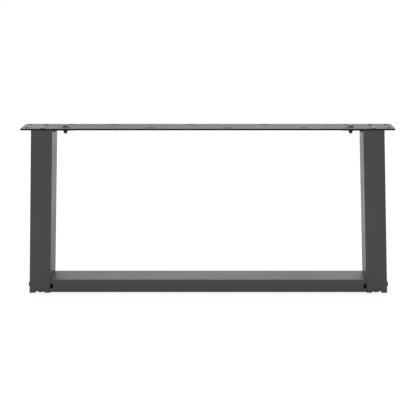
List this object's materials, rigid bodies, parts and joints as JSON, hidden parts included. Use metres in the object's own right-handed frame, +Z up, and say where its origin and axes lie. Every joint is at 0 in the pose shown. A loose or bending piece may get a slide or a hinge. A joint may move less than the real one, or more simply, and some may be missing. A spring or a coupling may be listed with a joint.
{
  "type": "u shaped table leg",
  "caption": "U shaped steel table leg with splayed box uprights, bolted bottom bar, slotted top plate and plastic glides.",
  "frame": {"origin": "on the floor, at the middle of the length and of the depth", "axes": "+X along the length, -Y to the front, +Z up"},
  "size_m": [0.7, 0.06, 0.324],
  "materials": {
    "powder_coat": "semi-matt fine-texture anthracite powder coat",
    "black_fastener": "black oxide steel",
    "burnished_steel": "burnished dark steel with a film of oil",
    "zinc_nut": "zinc plated",
    "bare_steel": "mill steel inside the bar",
    "cap_plastic": "moulded dark grey plastic",
    "glide_plastic": "moulded black plastic"
  },
  "bodies": {
    "root": {"top_plate": "powder_coat", "bottom_bar": "powder_coat", "left_upright": "powder_coat", "left_head_plate": "powder_coat", "left_weld_bead": "powder_coat", "left_nut_plate": "bare_steel", "left_foot_cap": "cap_plastic", "left_plate_washer": "burnished_steel", "left_plate_bolt": "burnished_steel", "left_plate_nut": "black_fastener", "left_front_top_screw": "burnished_steel", "left_front_bar_bolt": "black_fastener", "left_front_bar_nut": "zinc_nut", "left_front_glide": "glide_plastic", "left_rear_top_screw": "burnished_steel", "left_rear_bar_bolt": "black_fastener", "left_rear_bar_nut": "zinc_nut", "left_rear_glide": "glide_plastic", "right_upright": "powder_coat", "right_head_plate": "powder_coat", "right_weld_bead": "powder_coat", "right_nut_plate": "bare_steel", "right_foot_cap": "cap_plastic", "right_plate_washer": "burnished_steel", "right_plate_bolt": "burnished_steel", "right_plate_nut": "black_fastener", "right_front_top_screw": "burnished_steel", "right_front_bar_bolt": "black_fastener", "right_front_bar_nut": "zinc_nut", "right_front_glide": "glide_plastic", "right_rear_top_screw": "burnished_steel", "right_rear_bar_bolt": "black_fastener", "right_rear_bar_nut": "zinc_nut", "right_rear_glide": "glide_plastic"}
  },
  "joints": []
}
